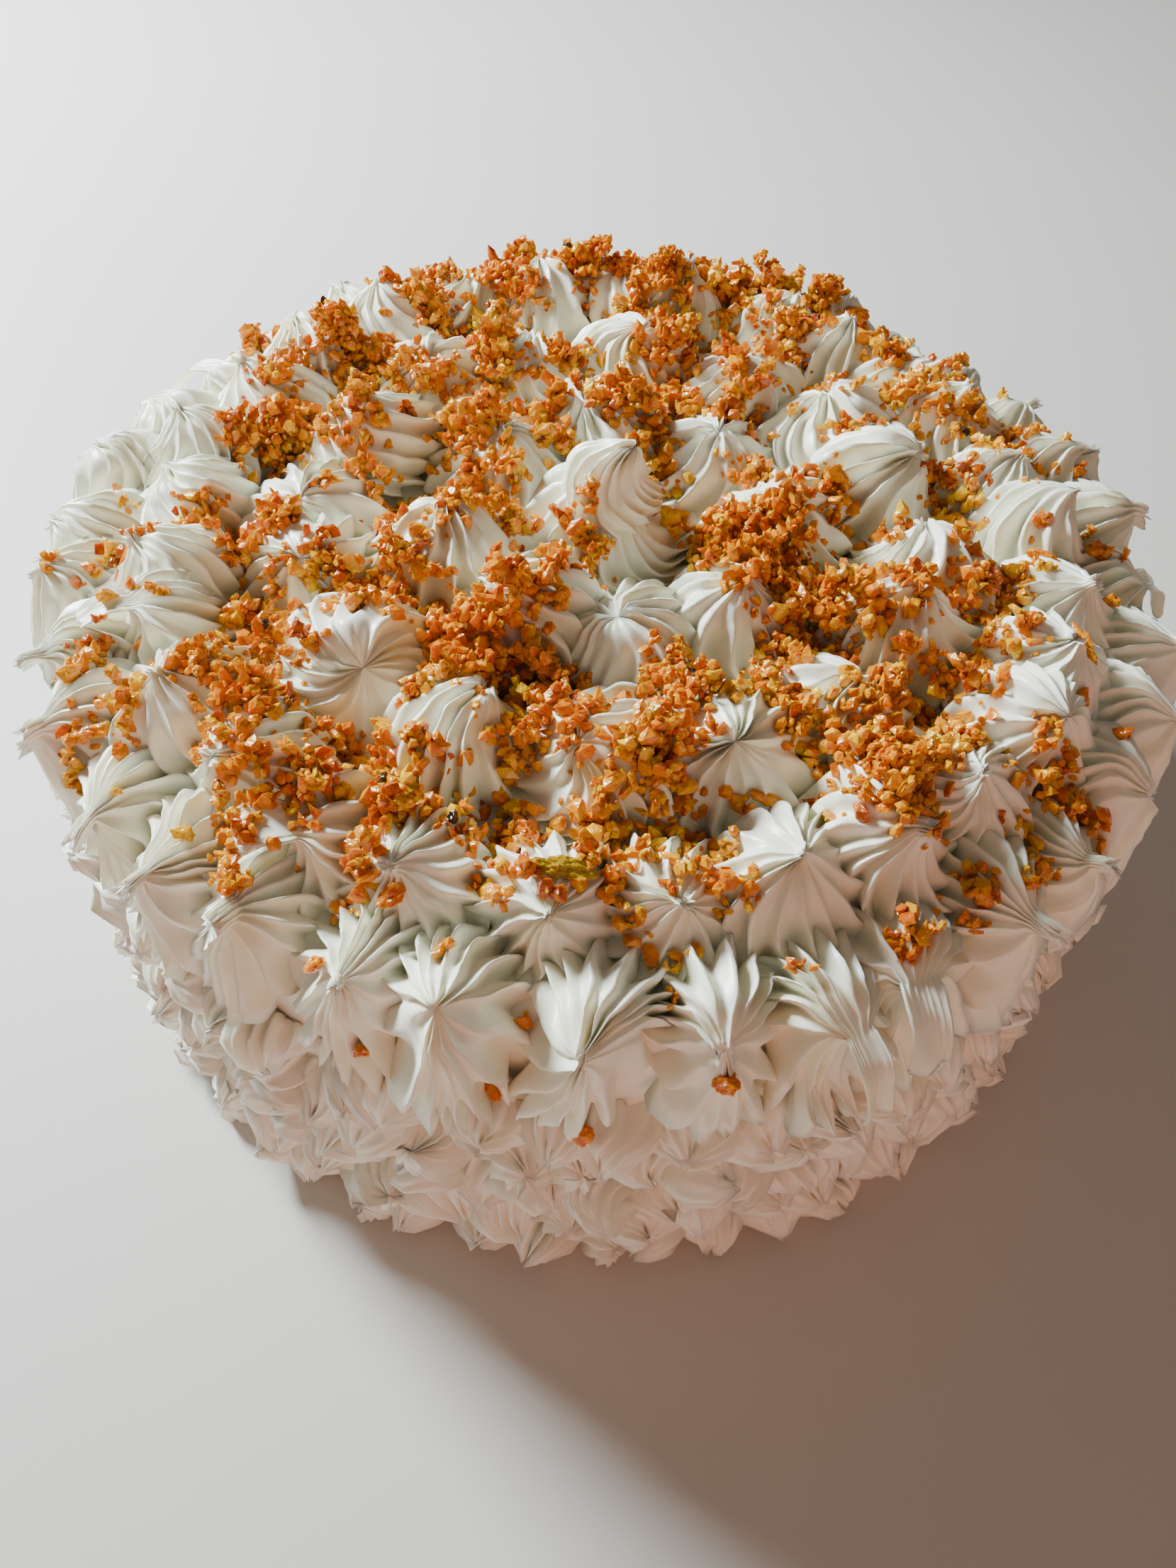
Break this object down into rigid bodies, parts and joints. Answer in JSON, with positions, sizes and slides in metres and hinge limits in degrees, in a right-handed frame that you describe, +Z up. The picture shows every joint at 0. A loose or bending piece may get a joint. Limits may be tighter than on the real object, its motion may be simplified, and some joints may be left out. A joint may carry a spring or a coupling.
{
  "type": "carrot cake",
  "caption": "Round whole cake with a ruffled cream wall, rings of piped cream stars on top, drooping stars round the rim and candied carrot crumbs in the creases.",
  "frame": {"origin": "middle of the flat underside, where the cake stands", "axes": "+Z up along the axis of the round cake; the cake's front is at -Y and +X is to the right of someone facing it"},
  "size_m": [0.2299, 0.2297, 0.1133],
  "materials": {
    "wall_cream": "soft satin whipped cream",
    "piped_cream": "soft satin whipped cream with candied carrot crumbs"
  },
  "bodies": {
    "root": {"frosted_cake": "wall_cream", "piped_cream": "piped_cream"}
  },
  "joints": []
}
